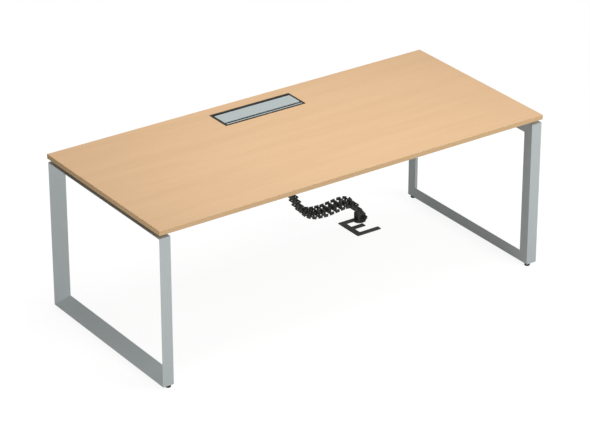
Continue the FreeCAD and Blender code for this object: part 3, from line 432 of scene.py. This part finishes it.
dress(black_plastic, "unit_frame")
dress(zinc, "lid_hinge_pins")
soften(EDGE_SOFT, "unit_frame")


# Lid and front strip: aluminium extrusions, brushed along their length and anodised in satin silver.
# The strip is glued into the flange; the lid swings up on two arms, painted black as painted shade for the
# dark gap behind the strip.
LID_BRIGHT = (0.605, 0.680, 0.675)
LID_DARK = (0.520, 0.580, 0.575)
LID_METALLIC = 0.30
LID_ROUGHNESS = 0.44
LID_FRONT = 0.280
STRIP_FRONT = 0.250
GAP_SHADE_BLACK = (0.020, 0.021, 0.021)
SHADE_FADE = 0.0004
HAIR_STEPS = (6.0, 2600.0, 2600.0)
HAIR_SHARE = 0.6
HAIR_DEPTH = 0.00001
BAND_STEPS = (2.0, 320.0, 320.0)
BAND_SHARE = 0.4
LINE_DETAIL = 2.0
LINE_STOPS = (0.3, 0.7)
LINE_ROUGHNESS = 0.16


def brushed(name, painted_shade_edge):
    """Brushed aluminium: hair lines along X in two widths, that change tone, gloss and height.

    On the sitter's side of painted_shade_edge it is painted black: painted shade that stands in for the
    shaded gap between strip and lid.
    """
    material, shader, place = start_material(name)
    hair = place.stretched(HAIR_STEPS).cloud(LINE_DETAIL)
    band = place.stretched(BAND_STEPS).cloud(LINE_DETAIL)
    line = hair * HAIR_SHARE + band * BAND_SHARE
    back = place.node("ShaderNodeSeparateXYZ", None, {0: place}, 1)
    metal = line.ramp(*LINE_STOPS).blend(LID_DARK, LID_BRIGHT)
    # Painted shade: on the sitter's side of the edge the metal is painted black, so the arms in the gap carry
    # on the shaded gap line.
    back.ramp(painted_shade_edge - SHADE_FADE, painted_shade_edge).blend(GAP_SHADE_BLACK, metal).into(shader, "Base Color")
    (LID_ROUGHNESS + line * LINE_ROUGHNESS).into(shader, "Roughness")
    hair.bump(HAIR_DEPTH).into(shader, "Normal")
    shader.inputs["Metallic"].default_value = LID_METALLIC
    return material


dress(brushed("lid_aluminium", LID_FRONT), "unit_lid")
dress(brushed("strip_aluminium", STRIP_FRONT), "front_strip")
soften(EDGE_SOFT, "unit_lid", "front_strip")


# Brush: black bristles clamped in a folded strip behind the lid, so that cables can leave while it is shut.
# The hairs taper from root to tip and sink a little under their own weight.
BRUSH_HALF = 0.1972
BRUSH_BACK = 0.3759
BRUSH_TIP = 0.3635
BRUSH_TOP = 0.7463
BRUSH_LOW = 0.7387
CLAMP_DEPTH = 0.0042
CLAMP_ROUND = 0.0009
CLAMP_CORNER_POINTS = 5
CLAMP_NUDGE = 0.001
BRISTLES = 620
BRISTLE_ROWS = 4
BRISTLE_SIDES = 3
BRISTLE_THICK = 0.00022
BRISTLE_TAPER = 0.66
BRISTLE_SPLAY = 0.0004
BRISTLE_SPLAY_MOST = 0.0009
BRISTLE_STRAY = 0.0002
BRISTLE_DROOP = 0.0011
BRISTLE_SHORTEST = 0.90
BRISTLE_STIFFEST = 0.5
ROOT_INSET = 0.003
END_INSET = 0.001
LOW_ROW_RISE = 0.0028
TOP_ROW_DROP = 0.0012
CHANCE_START = 7
FIBRE_BLACK = (0.010, 0.009, 0.008)
FIBRE_BROWN = (0.045, 0.040, 0.034)
TUFT_STEPS = (1500.0, 90.0, 900.0)
TUFT_STOPS = (0.3, 0.75)
TUFT_DETAIL = 1.0
TUFT_ROUGHNESS = 0.55
TUFT_DULLNESS = 0.2


def bristles():
    """Tapered three-sided hairs: each runs from the clamp to the tip, and sinks with the square of the way.

    Across X it strays by its own splay times the way. Its thickness falls with the way to a third near the
    tip, and it is pointed at both ends.
    """
    chance = np.random.default_rng(CHANCE_START)
    root_x = np.linspace(-BRUSH_HALF + END_INSET, BRUSH_HALF - END_INSET, BRISTLES)
    row_z = np.linspace(BRUSH_LOW + LOW_ROW_RISE, BRUSH_TOP - TOP_ROW_DROP, BRISTLE_ROWS)
    root_y = BRUSH_BACK - ROOT_INSET
    count = (BRISTLES, BRISTLE_ROWS)
    start_x = root_x[:, None] + chance.uniform(-BRISTLE_STRAY, BRISTLE_STRAY, count)
    splay = chance.normal(0.0, BRISTLE_SPLAY, count).clip(-BRISTLE_SPLAY_MOST, BRISTLE_SPLAY_MOST)
    reach = (root_y - BRUSH_TIP) * chance.uniform(BRISTLE_SHORTEST, 1.0, count)
    sink = BRISTLE_DROOP * chance.uniform(BRISTLE_STIFFEST, 1.0, count)
    way = np.array([0.0, 0.02, 0.25, 0.5, 0.75, 0.97, 1.0])
    side = np.arange(BRISTLE_SIDES) * 2 * math.pi / BRISTLE_SIDES
    between_ends = (way > 0.0) & (way < 1.0)
    thick = BRISTLE_THICK * (1 - BRISTLE_TAPER * way) * between_ends
    x = (start_x[..., None] + splay[..., None] * way)[..., None] + thick[:, None] * np.cos(side)
    y = (root_y - reach[..., None] * way)[..., None] + 0 * side
    z = (row_z[None, :, None] - sink[..., None] * way**2)[..., None] + thick[:, None] * np.sin(side)
    return np.stack([x, y, z], axis=-1).reshape(-1, way.size, BRISTLE_SIDES, 3)


def clamp():
    """A section carried along X, a box whose corners are quarter circles, drawn to a point at both ends."""
    corner = np.linspace(0.0, math.pi / 2, CLAMP_CORNER_POINTS)
    turn = np.concatenate([corner + quarter * math.pi / 2 for quarter in range(4)])
    middle_y = BRUSH_BACK - CLAMP_DEPTH / 2
    middle_z = (BRUSH_TOP + BRUSH_LOW) / 2
    half_y = CLAMP_DEPTH / 2 - CLAMP_ROUND
    half_z = (BRUSH_TOP - BRUSH_LOW) / 2 - CLAMP_ROUND
    from_middle_y = half_y * np.sign(np.cos(turn + CLAMP_NUDGE)) + CLAMP_ROUND * np.cos(turn)
    from_middle_z = half_z * np.sign(np.sin(turn + CLAMP_NUDGE)) + CLAMP_ROUND * np.sin(turn)
    along = np.array([-1.0, -1.0, 1.0, 1.0]) * BRUSH_HALF
    shrink = np.array([0.0, 1.0, 1.0, 0.0])
    y = middle_y + from_middle_y * shrink[:, None]
    z = middle_z + from_middle_z * shrink[:, None]
    x = np.broadcast_to(along[:, None], y.shape)
    return np.stack([x, y, z], axis=-1)[None]


def tufted(name, dark, pale):
    """Bristle fibre: every hair its own tone, by its place along the brush."""
    material, shader, place = start_material(name)
    tuft = place.stretched(TUFT_STEPS).cloud(TUFT_DETAIL)
    tuft.ramp(*TUFT_STOPS).blend(dark, pale).into(shader, "Base Color")
    (TUFT_ROUGHNESS + tuft * TUFT_DULLNESS).into(shader, "Roughness")
    return material


brush_fibre = tufted("brush_fibre", FIBRE_BLACK, FIBRE_BROWN)
brush_hairs = surface("brush_hairs", bristles(), brush_fibre, round_row=True)
brush_clamp = surface("brush_clamp", clamp(), black_plastic, round_row=True)
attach(brush_hairs, "desk")
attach(brush_clamp, "desk")
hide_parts("brush_strip")


# Tray and socket bar: a folded black steel tray, screwed to the board's underside at its ends.
# A moulded bar with three socket cups stands in it.
dress(black_coat, "cable_tray")
dress(black_plastic, "socket_bar", "socket_cups")
soften(EDGE_SOFT, "socket_bar")


# Cable chain: moulded nylon links that snap together, hung from a bracket bolted under the tray.
# Their satin faces are a little greyer where tool and cables have rubbed.
CHAIN_BLACK = (0.068, 0.074, 0.066)
CHAIN_WORN = (0.102, 0.109, 0.099)
CHAIN_ROUGHNESS = 0.34
CHAIN_PITS = 1100.0
LINK_COUNT = 25
chain_nylon = moulded("chain_nylon", CHAIN_BLACK, CHAIN_WORN, CHAIN_ROUGHNESS, CHAIN_PITS)
links = [f"chain_link_{number:02d}" for number in range(1, LINK_COUNT + 1)]
dress(chain_nylon, "chain_hanger", "chain_ankle", *links)
dress(zinc, "hanger_bolts")


# Foot: a laser-cut E of dark coated steel that lies loose on the floor, with a cup on the landing of its
# back prong. The chain's ankle turns in the cup on a pin with a fluted knob and a short lever.
PLATE_GREY = (0.080, 0.090, 0.081)
PLATE_FLAKE = (0.120, 0.132, 0.121)
FOOT_SOFT = 0.0009
plate_coat = powder_coat("plate_powder", PLATE_GREY, PLATE_FLAKE, COAT_METALLIC, COAT_ROUGHNESS)
dress(plate_coat, "floor_plate")
dress(chain_nylon, "ankle_clevis")
dress(black_plastic, "ankle_pin")
soften(FOOT_SOFT, "floor_plate", "ankle_clevis", "ankle_pin")


# Studio: a white floor that keeps a faint shadow, three soft boxes and a pale surround.
# One box hangs over the board, a large one stands in front on the right and a small one low on the left.
FLOOR_HALF = 60.0
FLOOR_POINTS = 9
FLOOR_BOUNCE = 0.36
SHADOW_DEPTH = 0.20
SHADOW_GLOW = 0.90
SHADOW_NEAR = 1.6
SHADOW_FAR = 3.4
WHITE = (1.0, 1.0, 1.0, 1.0)
WHITE_STRENGTH = 1.0
SURROUND = 0.19
SURROUND_MIRRORED = 0.25
AIM = (0.0, 0.0, 0.45)
SOFT_BOXES = {
    "top_light": {"at": (0.0, -0.1, 3.2), "size": 2.2, "watts": 53.0},
    "front_light": {"at": (2.8, -3.8, 2.8), "size": 4.0, "watts": 150.0},
    "left_light": {"at": (-3.5, -2.4, 0.75), "size": 1.4, "watts": 42.0},
}


def floor_mesh():
    """A flat square grid at height zero."""
    along = np.linspace(-FLOOR_HALF, FLOOR_HALF, FLOOR_POINTS)
    x, y = np.meshgrid(along, along, indexing="ij")
    return np.stack([x, y, np.zeros_like(x)], axis=-1)[None]


def floor_material():
    """White to the camera with a faint shadow near the object; a plain pale grey to every other ray."""
    material, shader, place = start_material("studio_floor")
    tree = material.node_tree
    tree.nodes.remove(shader)
    camera_ray = place.node("ShaderNodeLightPath", output="Is Camera Ray")
    distance = place.node("ShaderNodeVectorMath", {"operation": "LENGTH"}, {0: place}, "Value")
    grey = (FLOOR_BOUNCE, FLOOR_BOUNCE, FLOOR_BOUNCE, 1)
    bounce = place.node("ShaderNodeBsdfDiffuse", None, {"Color": grey})
    catch = (SHADOW_DEPTH, SHADOW_DEPTH, SHADOW_DEPTH, 1)
    lit = place.node("ShaderNodeBsdfDiffuse", None, {"Color": catch})
    glow = place.node("ShaderNodeEmission", None, {"Strength": SHADOW_GLOW})
    near = place.node("ShaderNodeAddShader", None, {0: lit, 1: glow})
    white = place.node("ShaderNodeEmission", None, {"Strength": WHITE_STRENGTH})
    away = distance.ramp(SHADOW_NEAR, SHADOW_FAR)
    seen = place.node("ShaderNodeMixShader", None, {0: away, 1: near, 2: white})
    whole = place.node("ShaderNodeMixShader", None, {0: camera_ray, 1: bounce, 2: seen})
    tree.links.new(whole.socket, tree.nodes["Material Output"].inputs["Surface"])
    return material


def surround():
    """A pale even light for the object, white behind it and a softer white in its reflections."""
    world = bpy.data.worlds.new("studio_surround")
    world.use_nodes = True
    tree = world.node_tree
    output = tree.nodes["World Output"]
    plain = Wire(tree, tree.nodes["Background"].outputs[0])
    plain.socket.node.inputs["Strength"].default_value = SURROUND
    plain.socket.node.inputs["Color"].default_value = WHITE
    camera_ray = plain.node("ShaderNodeLightPath", output="Is Camera Ray")
    mirrored = plain.node("ShaderNodeLightPath", output="Is Glossy Ray")
    white = plain.node("ShaderNodeBackground", None, {"Color": WHITE, "Strength": WHITE_STRENGTH})
    soft = plain.node("ShaderNodeBackground", None, {"Color": WHITE, "Strength": SURROUND_MIRRORED})
    lit = plain.node("ShaderNodeMixShader", None, {0: mirrored, 1: plain, 2: soft})
    whole = plain.node("ShaderNodeMixShader", None, {0: camera_ray, 1: lit, 2: white})
    tree.links.new(whole.socket, output.inputs["Surface"])
    bpy.context.scene.world = world


floor = surface("studio_floor", floor_mesh(), floor_material())
surround()
for name, box in SOFT_BOXES.items():
    lamp = bpy.data.lights.new(name, "AREA")
    lamp.energy = box["watts"]
    lamp.size = box["size"]
    lamp_object = bpy.data.objects.new(name, lamp)
    lamp_object.location = box["at"]
    lamp_object.rotation_euler = (Vector(AIM) - Vector(box["at"])).to_track_quat("-Z", "Y").to_euler()
    bpy.context.scene.collection.objects.link(lamp_object)


# Camera: the photo's own viewpoint, found from the straight edges of the board and the loops.
# It looks down over the left front corner through a long lens.
EYE = (-6.2091, -8.9168, 5.7420)
LOOK_ASIDE = 0.60676
LOOK_DOWN = 0.46284
LOOK_ROLL = -0.00129
LENS = 167.762
SENSOR = 36.0
FARTHEST = 200.0
camera = bpy.data.cameras.new("camera")
camera.lens = LENS
camera.sensor_width = SENSOR
camera.sensor_fit = "HORIZONTAL"
camera.clip_end = FARTHEST
camera_object = bpy.data.objects.new("camera", camera)
aside = Matrix.Rotation(-LOOK_ASIDE, 4, "Z")
downward = Matrix.Rotation(math.pi / 2 - LOOK_DOWN, 4, "X")
rolled = Matrix.Rotation(LOOK_ROLL, 4, "Z")
camera_object.matrix_world = Matrix.Translation(EYE) @ aside @ downward @ rolled
bpy.context.scene.collection.objects.link(camera_object)
bpy.context.scene.camera = camera_object
bpy.context.scene.view_settings.view_transform = "Standard"
